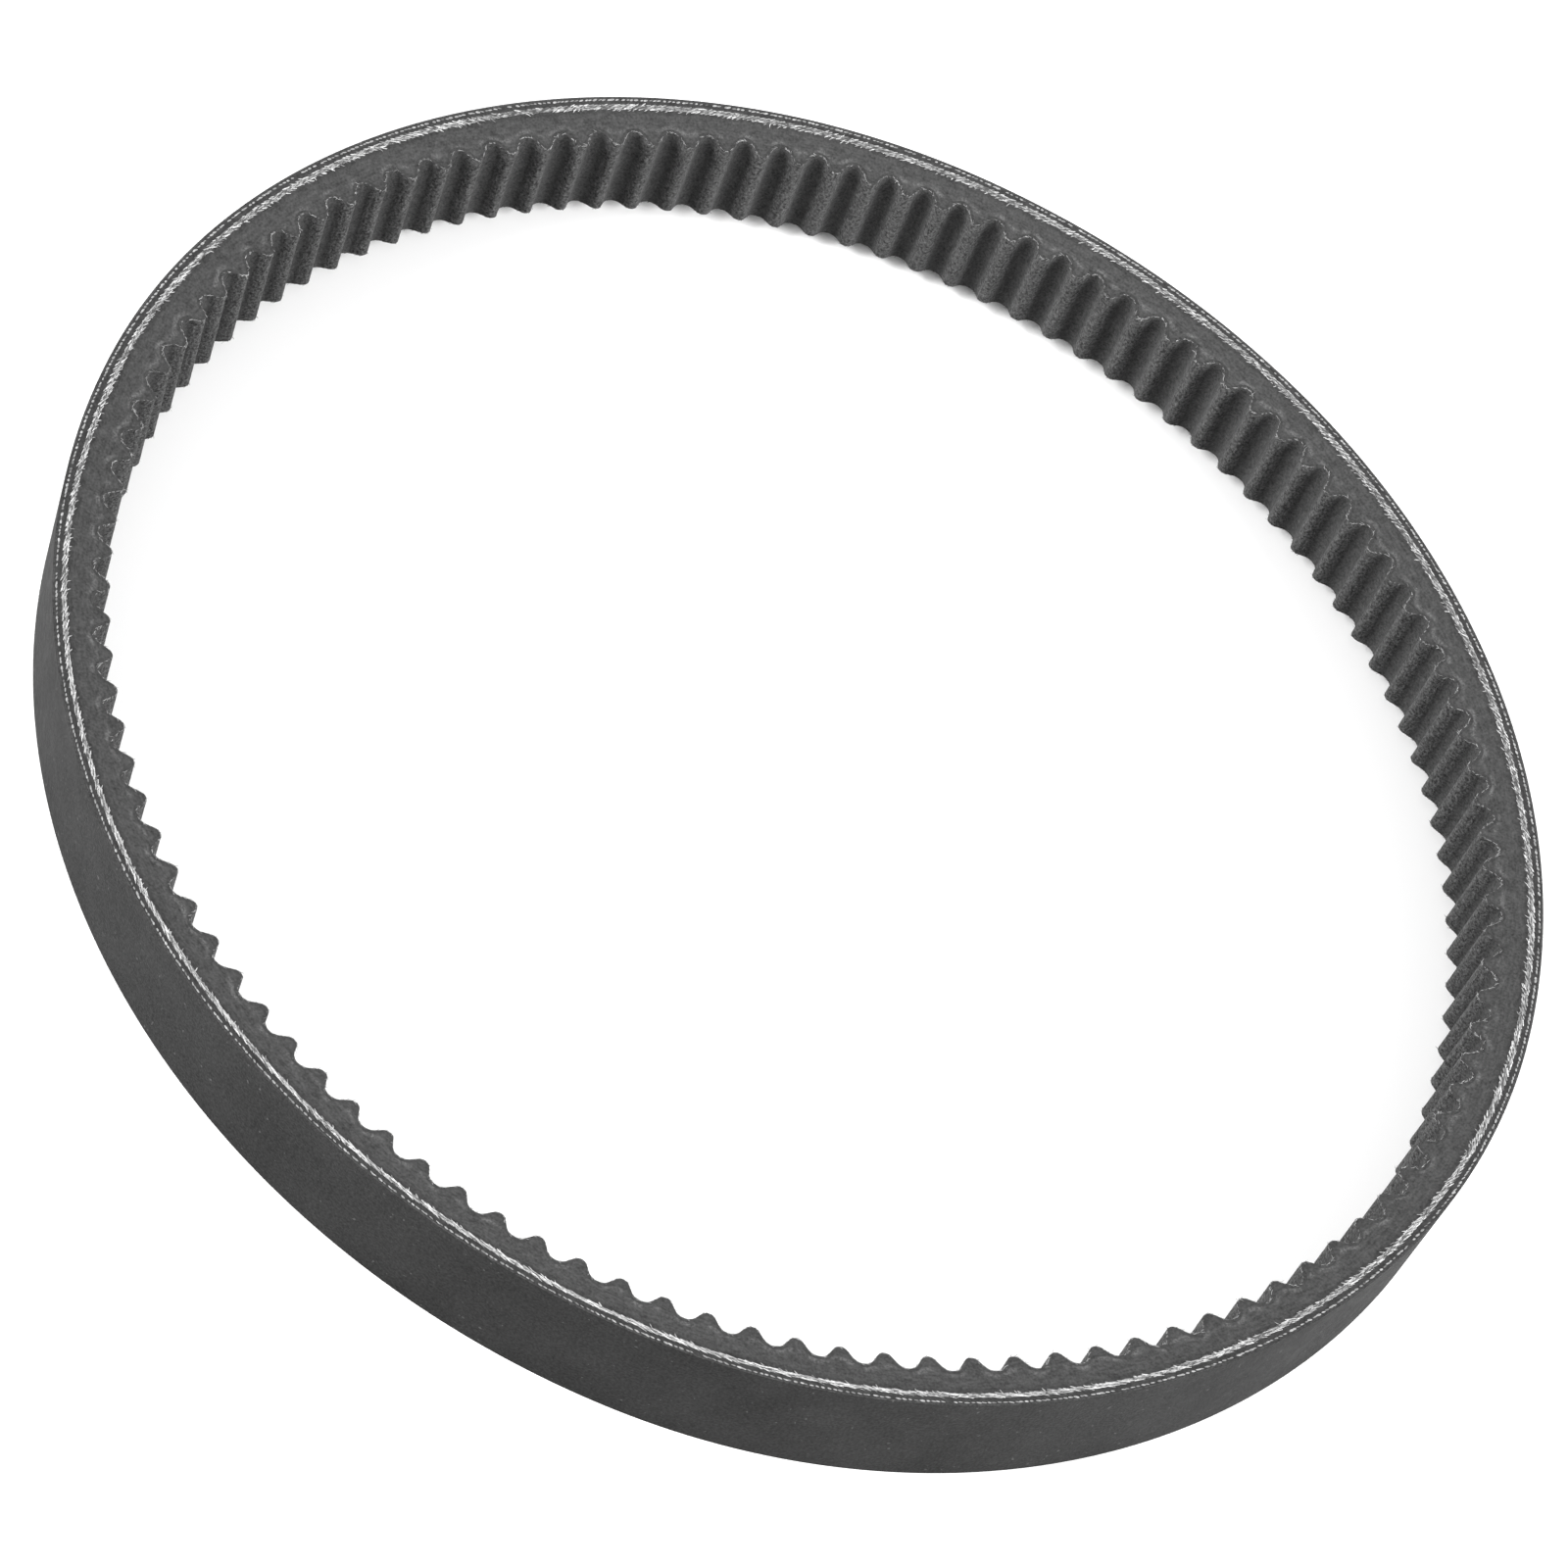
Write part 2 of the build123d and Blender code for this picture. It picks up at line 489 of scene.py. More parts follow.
@dataclass
class CogLine:
    """Line of one cog from valley to valley, set back from the belt's surface by a distance."""

    section: Section
    setback: float
    mean_radius: float
    arc_steps: int = 6

    @property
    def width(self) -> float:
        """True width of a cog at half its height, where the bent belt is shorter."""
        middle = (self.section.tip + self.section.valley) / 2
        return self.section.pitch * (1 - middle / self.mean_radius)

    @property
    def tip_radius(self) -> float:
        """Radius of the tip on this line."""
        return self.section.tip_radius - self.setback

    @property
    def valley_radius(self) -> float:
        """Radius of the valley on this line."""
        return self.section.valley_radius + self.setback

    @property
    def tip_centre(self) -> float:
        """Depth of the tip's centre."""
        return self.section.tip - self.section.tip_radius

    @property
    def valley_centre(self) -> float:
        """Depth of the valley's centre."""
        return self.section.valley + self.section.valley_radius

    @property
    def side(self) -> tuple[float, float]:
        """Work out the cog's side.

        Returns:
            The angle through which each arc turns, and the length of the straight side between them.
        """
        run = self.width / 2
        rise = self.tip_centre - self.valley_centre
        span = math.hypot(run, rise)
        reach = self.tip_radius + self.valley_radius
        return math.asin(reach / span) + math.atan2(rise, run), math.sqrt(span**2 - reach**2)

    def depth_at(self, share: float) -> float:
        """Work out the line's depth.

        Args:
            share: place in the cell, from 0 at one valley to 1 at the next.

        Returns:
            The depth there.
        """
        run = self.width / 2
        turn, _ = self.side
        from_valley = min(share, 1 - share) * self.width
        valley_end = self.valley_radius * math.sin(turn)
        tip_start = run - self.tip_radius * math.sin(turn)
        if from_valley < valley_end:
            return self.valley_centre - math.sqrt(self.valley_radius**2 - from_valley**2)
        if from_valley > tip_start:
            return self.tip_centre + math.sqrt(self.tip_radius**2 - (run - from_valley) ** 2)
        foot = self.valley_centre - self.valley_radius * math.cos(turn)
        return foot + (from_valley - valley_end) * math.tan(turn)

    def draw(self, piece: Workpiece, height: float) -> None:
        """Draw the line in a piece, as a chain of edges.

        Args:
            piece: the piece that is started by the line.
            height: the line's Z.
        """
        turn, length = self.side
        slope = (length * math.cos(turn), length * math.sin(turn))
        start = (0.0, self.valley_centre - self.valley_radius, height)
        bpy.ops.mesh.primitive_plane_add(size=MM, location=start)
        piece.take()
        bpy.ops.mesh.merge(type="CENTER")
        self.turn(-turn, (0.0, self.valley_centre, height), self.arc_steps)
        piece.extrude(x=slope[0], y=slope[1])
        self.turn(turn * 2, (self.width / 2, self.tip_centre, height), self.arc_steps * 2)
        piece.extrude(x=slope[0], y=-slope[1])
        self.turn(-turn, (self.width, self.valley_centre, height), self.arc_steps)

    @staticmethod
    def turn(angle: float, centre: tuple[float, float, float], steps: int) -> None:
        """Spin the last point of the line about a centre."""
        bpy.ops.mesh.spin(steps=steps, angle=angle, center=centre, axis=(0, 0, 1))


# ---- Finishes ----


def spread(value: Signal, amount: float) -> Signal:
    """Turn a noise value around 0.5 into a swing around 0."""
    return (value - 0.5) * amount


@dataclass(frozen=True)
class BackCloth:
    """Rubberised cloth on the back: matte charcoal with a fine grain, faint mottling and specks."""

    back_depth: float
    shade: float = 0.017
    rim_shade: float = 0.042
    darkest: float = 0.3
    speck_shade: float = 0.035
    scuff_shade: float = 0.03
    grain_size: float = 0.6 * MM
    mottle_size: float = 3.2 * MM
    patch_size: float = 17.0 * MM
    speck_size: float = 1.1 * MM
    scuff_along: float = 0.12
    scuff_across: float = 0.5
    roughness: float = 0.72
    gloss: float = 0.1

    def scuffs(self, finish: Finish, grain: Signal) -> Signal:
        """Add a mask of short scuffs that run along the belt.

        Args:
            finish: the material.
            grain: the grain that breaks them up.

        Returns:
            The mask.
        """
        along, _, height = finish.place()
        line = finish.vector(along * self.scuff_along, height * self.scuff_across)
        return finish.noise(1.0, 1.0, line).above(0.74, 0.84) * grain.above(0.45, 0.6)

    def make(self) -> bpy.types.Material:
        """Build the material.

        Returns:
            The finished material.
        """
        finish = Finish("back_cloth")
        grain = finish.noise(self.grain_size, detail=3.0)
        mottle = finish.noise(self.mottle_size, detail=3.0)
        patch = finish.noise(self.patch_size, detail=2.0, stretch=0.4)
        specks = finish.noise(self.speck_size, detail=0.0).above(0.8, 0.85)
        _, depth, _ = finish.place()
        on_edge = depth.above(self.back_depth + 0.02, self.back_depth + 0.06)
        value = 1.0 + spread(grain, 2.1) + spread(mottle, 0.9) + spread(patch, 0.9)
        value = value.math("MAXIMUM", self.darkest)
        value = value * (self.shade + on_edge * (self.rim_shade - self.shade))
        value = value + specks * self.speck_shade + self.scuffs(finish, grain) * self.scuff_shade
        normal = finish.bump(grain, 0.6, 0.16 * MM, finish.bump(mottle, 0.25, 0.3 * MM))
        roughness = self.roughness + spread(mottle, 0.5)
        return finish.surface(value, roughness, normal, self.gloss)


@dataclass(frozen=True)
class GroundFace:
    """Grain and relief of a face that was cut and ground along the belt."""

    fine_size: float = 0.62 * MM
    blotch_size: float = 2.6 * MM
    drag_along: float = 0.3
    drag_across: float = 1.5
    darkest: float = 0.35
    gloss: float = 0.24
    roughness: float = 0.8

    def look(self, finish: Finish) -> tuple[Signal, Signal]:
        """Add the face's pattern to a material.

        Args:
            finish: the material.

        Returns:
            Its shade around 1, and its relief.
        """
        along, depth, _ = finish.place()
        fine = finish.noise(self.fine_size, detail=3.0)
        blotch = finish.noise(self.blotch_size, detail=3.0, stretch=0.8)
        lines = finish.vector(along * self.drag_along, depth * self.drag_across)
        drag = finish.noise(1.0, 3.0, lines)
        shade = 1.0 + spread(fine, 1.6) + spread(blotch, 1.0) + spread(drag, 1.1)
        return shade.math("MAXIMUM", self.darkest), fine + drag * 0.5

    def close(self, finish: Finish, shade: Signal, relief: Signal) -> bpy.types.Material:
        """Close a material that is nothing but a ground face."""
        normal = finish.bump(relief, 0.5, 0.14 * MM)
        return finish.surface(shade, self.roughness, normal, self.gloss)


@dataclass(frozen=True)
class CushionRubber(GroundFace):
    """Soft dark rubber above the cord, ground at the flank."""

    shade: float = 0.02592

    def make(self) -> bpy.types.Material:
        """Build the material.

        Returns:
            The finished material.
        """
        finish = Finish("cushion_rubber")
        shade, relief = self.look(finish)
        return self.close(finish, shade * self.shade, relief)


@dataclass(frozen=True)
class GroundRubber(GroundFace):
    """Rubber below the cord, ground at the flank: darker by the cord and dusted pale near the cogs."""

    pitch: float = field(kw_only=True)
    shade: float = 0.0375
    rim_depth: float = 0.9
    rim_width: float = 1.4
    rim_darkening: float = 0.28
    smudge_shade: float = 0.056
    smudge_depth: float = 5.2
    smudge_wave: float = 0.8
    smudge_width: float = 1.1

    def smudges(self, finish: Finish, along: Signal, depth: Signal) -> Signal:
        """Mask of pale rubber dust that follows the cogs in a broken wave.

        Args:
            finish: the material.
            along: unrolled distance in millimetres.
            depth: unrolled depth in millimetres.

        Returns:
            The mask.
        """
        wave = (along * (2 * math.pi / self.pitch)).math("COSINE")
        ridge = (depth - self.smudge_depth - (1.0 - wave) * self.smudge_wave).math("ABSOLUTE")
        patchy = finish.noise(3.4 * MM, detail=2.0).above(0.4, 0.62)
        grains = finish.noise(0.5 * MM, detail=2.0).above(0.4, 0.62)
        return (1.0 - ridge.above(0.0, self.smudge_width)) * patchy * (grains * 0.8 + 0.2)

    def make(self) -> bpy.types.Material:
        """Build the material.

        Returns:
            The finished material.
        """
        finish = Finish("ground_rubber")
        along, depth, _ = finish.place()
        shade, relief = self.look(finish)
        rim = 1.0 - depth.above(self.rim_depth, self.rim_depth + self.rim_width)
        value = shade * (1.0 - rim * self.rim_darkening) * self.shade
        value = value + self.smudges(finish, along, depth) * self.smudge_shade
        return self.close(finish, value, relief)


@dataclass(frozen=True)
class CogCloth:
    """Stretch cloth over the cogs: dark, granular and fuzzy, paler on the tips, partly from wear and
    partly as painted light where the tips catch more light than the valleys.
    """

    section: Section
    shade: float = 0.0225
    cut_edge_shade: float = 0.026
    darkest: float = 0.2
    fuzz_size: float = 0.8 * MM
    grit_size: float = 0.6 * MM
    crinkle_size: float = 0.95 * MM
    patch_size: float = 3.0 * MM
    tip_wear_and_light_start: float = 0.9
    tip_wear_and_light_full: float = 2.5
    gloss: float = 0.2
    sheen: float = 0.05
    roughness: float = 0.85

    def on_flank(self, depth: Signal, height: Signal) -> Signal:
        """Add a mask of the cloth's own cut edge, which lies in the flank.

        Args:
            depth: unrolled depth in millimetres.
            height: unrolled height in millimetres.

        Returns:
            The mask.
        """
        edge = (self.section.half_width(0) - 0.06 * MM) / MM
        reach = height.math("ABSOLUTE") + depth * self.section.flank_rise()
        return reach.above(edge - 0.03, edge)

    def make(self) -> bpy.types.Material:
        """Build the material.

        Returns:
            The finished material.
        """
        finish = Finish("cog_cloth")
        _, depth, height = finish.place()
        on_flank = self.on_flank(depth, height)
        fuzz = finish.noise(self.fuzz_size, detail=2.0)
        grit = finish.noise(self.grit_size, detail=2.0)
        crinkle = finish.noise(self.crinkle_size, detail=2.0, stretch=1.2)
        veins = 1.0 - spread(crinkle, 1.0).math("ABSOLUTE").above(0.0, 0.075)
        patch = finish.noise(self.patch_size, detail=2.0)
        valley = self.section.valley / MM
        # Mask of the tips, which are made paler below: partly wear, partly painted light, as the tips
        # catch more light than the shaded valleys.
        worn = depth.above(valley + self.tip_wear_and_light_start, valley + self.tip_wear_and_light_full)
        grain = 1.0 + spread(fuzz, 1.0) + spread(grit, 3.2) + spread(patch, 0.8)
        # The tips' lift in shade here is part wear, part painted light.
        cloth = grain + worn * (0.6 + spread(fuzz, 2.0) + spread(grit, 5.6) + veins * 0.7)
        cloth = cloth.math("MAXIMUM", self.darkest)
        shade, relief = GroundFace().look(finish)
        value = cloth * self.shade * (1.0 - on_flank) + shade * on_flank * self.cut_edge_shade
        weave = (fuzz + grit * 0.6 + veins * 0.4) * (0.3 + worn * 0.9)
        height_map = weave * (1.0 - on_flank) + relief * on_flank * 0.4
        normal = finish.bump(height_map, 0.9, 0.45 * MM)
        return finish.surface(value, self.roughness, normal, self.gloss, self.sheen)


@dataclass(frozen=True)
class Yarn:
    """Textile with its own darkest and palest shade."""

    name: str
    dark: float
    pale: float
    gloss: float = 0.3
    sheen: float = 0.15
    roughness: float = 0.78


@dataclass(frozen=True)
class CordYarn(Yarn):
    """Pale synthetic yarn, dusted with rubber between its fibres."""

    cut: bool = field(kw_only=True)
    fibre_size: float = 0.5 * MM
    fibre_along: float = 0.55
    fibre_across: float = 3.2
    fibre_twist: float = 0.6
    dust_size: float = 1.1 * MM

    def fibres(self, finish: Finish) -> Signal:
        """Add noise drawn out along the twist of a cut cord, or even all round a whole one.

        Args:
            finish: the material.

        Returns:
            A value around 0.5.
        """
        if not self.cut:
            return finish.noise(self.fibre_size, 3.0)
        along, depth, height = finish.place()
        twisted = depth * self.fibre_across - along * self.fibre_twist
        line = finish.vector(along * self.fibre_along, twisted, height * self.fibre_across)
        return finish.noise(1.0, 3.0, line)

    def make(self) -> bpy.types.Material:
        """Build the material.

        Returns:
            The finished material.
        """
        finish = Finish(self.name)
        fibres = self.fibres(finish)
        dust = finish.noise(self.dust_size, detail=2.0)
        bright = fibres.above(0.44, 0.62) * dust.above(0.3, 0.56)
        value = self.dark + bright * (self.pale - self.dark)
        normal = finish.bump(fibres, 0.7, 0.15 * MM)
        return finish.surface(value, self.roughness, normal, self.gloss, self.sheen)


@dataclass(frozen=True)
class LooseFibre(Yarn):
    """Single cut fibres, each with a shade of its own."""

    dust_size: float = 0.6 * MM
    darkest: float = 0.3

    def make(self) -> bpy.types.Material:
        """Build the material.

        Returns:
            The finished material.
        """
        finish = Finish(self.name)
        dust = finish.noise(self.dust_size, detail=2.0)
        value = self.dark + finish.tone() * (self.pale - self.dark)
        value = value * (1.0 + spread(dust, 1.8)).math("MAXIMUM", self.darkest)
        normal = finish.bump(dust, 0.4, 0.08 * MM)
        return finish.surface(value, self.roughness, normal, self.gloss, self.sheen)


# ---- The belt's layers ----


@dataclass
class Belt:
    """The whole belt, made layer by layer."""

    loop: Loop = field(default_factory=Loop.from_frame)
    section: Section = field(default_factory=Section)
    steps_per_pitch: int = 4
    widest_cut: float = 0.33
    mean_cut: float = 0.8
    cut_swing: float = 0.18
    wander: tuple[tuple[float, int, float], ...] = ((0.08 * MM, 5, 1.0), (0.06 * MM, 13, 0.0))

    def fit(self, piece: bpy.types.Object, material: bpy.types.Material, slot: str,
            *nodes: str) -> None:
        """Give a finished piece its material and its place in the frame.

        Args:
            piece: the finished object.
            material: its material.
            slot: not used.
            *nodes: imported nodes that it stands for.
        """
        piece.data.materials.clear()
        piece.data.materials.append(material)
        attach(piece, "root")
        if nodes:
            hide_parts(*nodes)
        log.info("%s: %d faces", piece.name, len(piece.data.polygons))

    def layer(self, name: str, outer: float, inner: float, rows: int = 1) -> bpy.types.Object:
        """Model a layer that runs from flank to flank.

        Args:
            name: the piece's name.
            outer: depth of its outer face.
            inner: depth of its inner face.
            rows: strips across each wide face.

        Returns:
            The wrapped layer.
        """
        piece = Workpiece(name, self.loop, self.section)
        width = self.section.half_width(outer) * 2
        bpy.ops.object.select_all(action="DESELECT")
        bpy.ops.mesh.primitive_plane_add(
            size=1, location=(0, (outer + inner) / 2, 0), rotation=(0, math.radians(90), 0)
        )
        bpy.ops.transform.resize(value=(1, inner - outer, width))
        piece.take()
        piece.pick("vertices", lambda at: at.y > (outer + inner) / 2)
        taper = self.section.half_width(inner) / self.section.half_width(outer)
        piece.stretch((1, 1, taper), (0, inner, 0))
        bpy.ops.mesh.select_all(action="SELECT")
        bpy.ops.mesh.delete(type="ONLY_FACE")
        self.split_across(piece, rows)
        step = self.section.pitch / self.steps_per_pitch
        for _ in range(self.steps_per_pitch):
            bpy.ops.mesh.select_mode(type="VERT")
            piece.extrude(x=step)
        piece.repeat(self.section.cog_count, self.section.pitch)
        return piece.wrap()

    def split_across(self, piece: Workpiece, rows: int) -> None:
        """Split the section's two wide edges into rows, and select all of the section.

        Args:
            piece: the layer's section.
            rows: number of rows.
        """
        bpy.ops.mesh.select_mode(type="VERT")
        bpy.ops.mesh.select_all(action="SELECT")
        for row in range(1, rows):
            height = self.section.half_back * (2 * row / rows - 1)
            bpy.ops.mesh.bisect(plane_co=(0, 0, height), plane_no=(0, 0, 1))
            bpy.ops.mesh.select_all(action="SELECT")

    def start_cog(self, name: str, setback: float) -> tuple[Workpiece, CogLine]:
        """Start a cog cell by its line.

        Args:
            name: the piece's name.
            setback: the line's distance from the belt's surface.

        Returns:
            The piece, with all of the line selected, and the line.
        """
        piece = Workpiece(name, self.loop, self.section)
        bpy.ops.object.select_all(action="DESELECT")
        line = CogLine(self.section, setback, self.mean_radius)
        line.draw(piece, -self.section.half_back)
        bpy.ops.mesh.select_all(action="SELECT")
        return piece, line

    def cog_body(self) -> bpy.types.Object:
        """Model the deep rubber with its cogs, up to the soft rubber round the cord.

        Returns:
            The wrapped rubber.
        """
        piece, line = self.start_cog("cog_rubber", self.section.facing)
        top = self.section.depths["compression_rubber"]
        piece.extrude(y=-self.section.cog_height)
        piece.stretch((1, 0, 1), (0, top, 0))
        self.finish_cog_cell(piece, line)
        return piece.wrap()

    def cog_cloth(self) -> bpy.types.Object:
        """Model the cloth over the cogs.

        Returns:
            The wrapped cloth.
        """
        piece, line = self.start_cog("cog_cloth", 0.0)
        piece.extrude(z=self.section.half_back * 2)
        bpy.ops.mesh.select_all(action="SELECT")
        bpy.ops.mesh.normals_make_consistent(inside=False)
        piece.modify("SOLIDIFY", thickness=self.section.facing, offset=-1.0,
                     use_even_offset=True, use_rim=True)
        bpy.ops.object.mode_set(mode="EDIT")
        for end in (0.0, line.width):
            piece.pick("vertices", lambda at: abs(at.x - end) < self.section.facing / 4)
            piece.stretch((0, 1, 1), (end, 0, 0))
        self.finish_cog_cell(piece, line, solid=True)
        return piece.wrap()

    def finish_cog_cell(self, piece: Workpiece, line: CogLine, solid: bool = False) -> None:
        """Give a cog cell its width and flanks, stretch it to the cord line's pitch and repeat it.

        Args:
            piece: the cell.
            line: the cog line that it was drawn from.
            solid: whether it is already a closed solid that runs past both flanks.
        """
        bpy.ops.mesh.select_all(action="SELECT")
        if not solid:
            piece.extrude(z=self.section.half_back * 2)
        piece.trim_flanks()
        piece.open_ends(line.width)
        bpy.ops.mesh.select_mode(type="VERT")
        bpy.ops.mesh.select_all(action="SELECT")
        piece.stretch((self.section.pitch / line.width, 1, 1), (0, 0, 0))
        piece.repeat(self.section.cog_count, self.section.pitch)

    def cord_share(self, along: float) -> float:
        """Share of the cord's full width that trimming laid open at a place round the loop."""
        turn = 2 * math.pi * (along / self.loop.length - self.widest_cut)
        return self.mean_cut + self.cut_swing * math.cos(turn)

    def cord_streak(self, along: float) -> float:
        """How far the cut is narrowed to a streak, from 0 where it is widest to 1."""
        widest = self.mean_cut + self.cut_swing
        return (widest - self.cord_share(along)) / (2 * self.cut_swing)

    def cord_wander(self, along: float) -> float:
        """Depth by which the cut cord wanders from the cord line at a place round the loop."""
        turn = 2 * math.pi * along / self.loop.length
        return sum(size * math.sin(waves * turn + start) for size, waves, start in self.wander)

    @property
    def mean_radius(self) -> float:
        """Radius of a circle as long as the cord line."""
        return self.loop.length / (2 * math.pi)

    def flank_frame(self, side: Side) -> tuple[Vector, Vector]:
        """Work out the directions on an unrolled flank.

        Args:
            side: the flank.

        Returns:
            The direction inwards along the flank, and the direction out of it.
        """
        angle = math.radians(self.section.flank_angle)
        inwards = Vector((0, math.cos(angle), -side.value * math.sin(angle)))
        outwards = Vector((0, math.sin(angle), side.value * math.cos(angle)))
        return inwards, outwards

    def cut_cord(self, side: Side, lobes: int = 3, points: int = 15, steps: int = 5,
                 turns_per_pitch: int = 2, groove: float = 0.8,
                 kept: float = 0.16) -> bpy.types.Object:
        """Model the twisted cord that trimming laid open in a flank.

        Args:
            side: the flank.
            lobes: strands twisted together.
            points: points round the cord.
            steps: steps for each strand's share of a turn.
            turns_per_pitch: turns of the twist in one cog's pitch.
            groove: radius between the strands as a share of the cord's.
            kept: share of the height outside the flank that the ground strands keep.

        Returns:
            The wrapped cord.
        """
        piece = Workpiece(f"{side.name.lower()}_cut_cord", self.loop, self.section)
        centre = (0.0, 0.0, side.value * (self.section.half_width(0) - self.section.cut_cord_inset))
        bpy.ops.object.select_all(action="DESELECT")
        bpy.ops.mesh.primitive_circle_add(
            vertices=points, radius=self.section.cord_radius, location=centre,
            rotation=(0, math.radians(90), 0),
        )
        piece.take()
        share = 2 * math.pi / lobes

        def in_groove(at: Vector) -> bool:
            """Say whether a point lies between two strands."""
            angle = math.atan2(at.y - centre[1], at.z - centre[2]) % share
            return min(angle, share - angle) < math.pi / points

        piece.pick("vertices", in_groove)
        piece.stretch((1, groove, groove), centre)
        bpy.ops.mesh.select_all(action="SELECT")
        cell = self.section.pitch / (turns_per_pitch * lobes)
        for _ in range(steps):
            piece.extrude(x=cell / steps)
            bpy.ops.transform.rotate(value=share / steps, orient_axis="X", center_override=centre)
        piece.repeat(self.section.cog_count * turns_per_pitch * lobes, cell)
        self.grind(piece.object, side, kept)
        return piece.wrap(YARN_SMOOTH_ANGLE)

    def grind(self, piece: bpy.types.Object, side: Side, kept: float) -> None:
        """Grind an unrolled piece down to a flank.

        Args:
            piece: the unrolled piece.
            side: the flank.
            kept: share of the height outside the flank that is kept.
        """
        _, outwards = self.flank_frame(side)
        on_flank = Vector((0, 0, side.value * self.section.half_width(0)))
        for vertex in piece.data.vertices:
            vertex.co.y = vertex.co.y * self.cord_share(vertex.co.x) + self.cord_wander(vertex.co.x)
            height = (vertex.co - on_flank).dot(outwards)
            if height > 0:
                vertex.co -= outwards * height * (1 - kept)


# ---- Cut yarn ends and loose fibres ----


@dataclass
class Strand:
    """Place, direction, size and shade of one short fibre. Its slant and rise are in degrees."""

    along: float
    depth: float
    lift: float
    slant: float
    rise: float
    length: float
    radius: float
    bend: float
    tone: float


@dataclass
class FibreMaker:
    """Copies one modelled fibre to every place in a set of strands."""

    belt: Belt
    sides: int = 4
    joints: int = 3
    root_share: float = 0.6
    tip_share: float = 0.45

    def master(self) -> tuple[np.ndarray, list[tuple[int, ...]]]:
        """Model a fibre of length 1 and radius 1 along Z, thinned towards its ends.

        Returns:
            Its points and its faces.
        """
        bpy.ops.object.select_all(action="DESELECT")
        bpy.ops.mesh.primitive_cylinder_add(vertices=self.sides, radius=1, depth=1, location=(0, 0, 0.5))
        fibre = Workpiece("fibre", self.belt.loop, self.belt.section)
        fibre.take()
        for joint in range(1, self.joints):
            bpy.ops.mesh.select_all(action="SELECT")
            bpy.ops.mesh.bisect(plane_co=(0, 0, joint / self.joints), plane_no=(0, 0, 1))
        for end, share in ((0.0, self.root_share), (1.0, self.tip_share)):
            fibre.pick("vertices", lambda at: abs(at.z - end) < 0.01)
            fibre.stretch((share, share, 1), (0, 0, end))
        bpy.ops.object.mode_set(mode="OBJECT")
        mesh = fibre.object.data
        points = np.array([vertex.co for vertex in mesh.vertices])
        faces = [tuple(face.vertices) for face in mesh.polygons]
        bpy.data.objects.remove(fibre.object)
        return points, faces

    def make(self, name: str, side: Side, strands: list[Strand], flat: float) -> bpy.types.Object:
        """Make all of the fibres as one piece.

        Args:
            name: the piece's name.
            side: the flank that they lie on.
            strands: the fibres.
            flat: height of a fibre as a share of its width.

        Returns:
            The wrapped piece.
        """
        section = self.belt.section
        points, faces = self.master()
        inwards, outwards = (np.array(v) for v in self.belt.flank_frame(side))
        rows = np.array([astuple(strand) for strand in strands]).T
        along, depth, lift, slant, rise, length, radius, bend, tone = rows
        slant, rise = (np.radians(angles)[:, None] for angles in (slant, rise))
        length, radius, bend = (sizes[:, None, None] for sizes in (length, radius, bend))
        across = side.value * (np.array([1.0, 0, 0]) * -np.sin(slant) + inwards * np.cos(slant))
        ahead = np.array([1.0, 0, 0]) * np.cos(slant) + inwards * np.sin(slant)
        forward = ahead * np.cos(rise) + outwards * np.sin(rise)
        upward = outwards * np.cos(rise) - ahead * np.sin(rise)
        base = np.stack([along, depth, side.value * section.half_width(depth)], 1)
        base += outwards * lift[:, None]
        run = points[None, :, 2:3]
        places = base[:, None, :] + forward[:, None, :] * run * length
        places += across[:, None, :] * (points[None, :, 0:1] * radius + bend * run**2 * length)
        places += upward[:, None, :] * points[None, :, 1:2] * radius * flat
        places = places.reshape(-1, 3)
        shift = len(points)
        all_faces = [
            tuple(corner + copy * shift for corner in face)
            for copy in range(len(strands))
            for face in faces
        ]
        mesh = bpy.data.meshes.new(name)
        mesh.from_pydata(self.belt.loop.wrap(places).tolist(), [], all_faces)
        shades = mesh.attributes.new(TONE_LAYER, "FLOAT", "POINT")
        shades.data.foreach_set("value", np.repeat(tone, shift).astype(np.float32))
        piece = bpy.data.objects.new(name, mesh)
        bpy.context.scene.collection.objects.link(piece)
        bpy.ops.object.select_all(action="DESELECT")
        piece.select_set(True)
        bpy.context.view_layer.objects.active = piece
        bpy.ops.object.shade_smooth_by_angle(angle=math.radians(YARN_SMOOTH_ANGLE))
        return piece


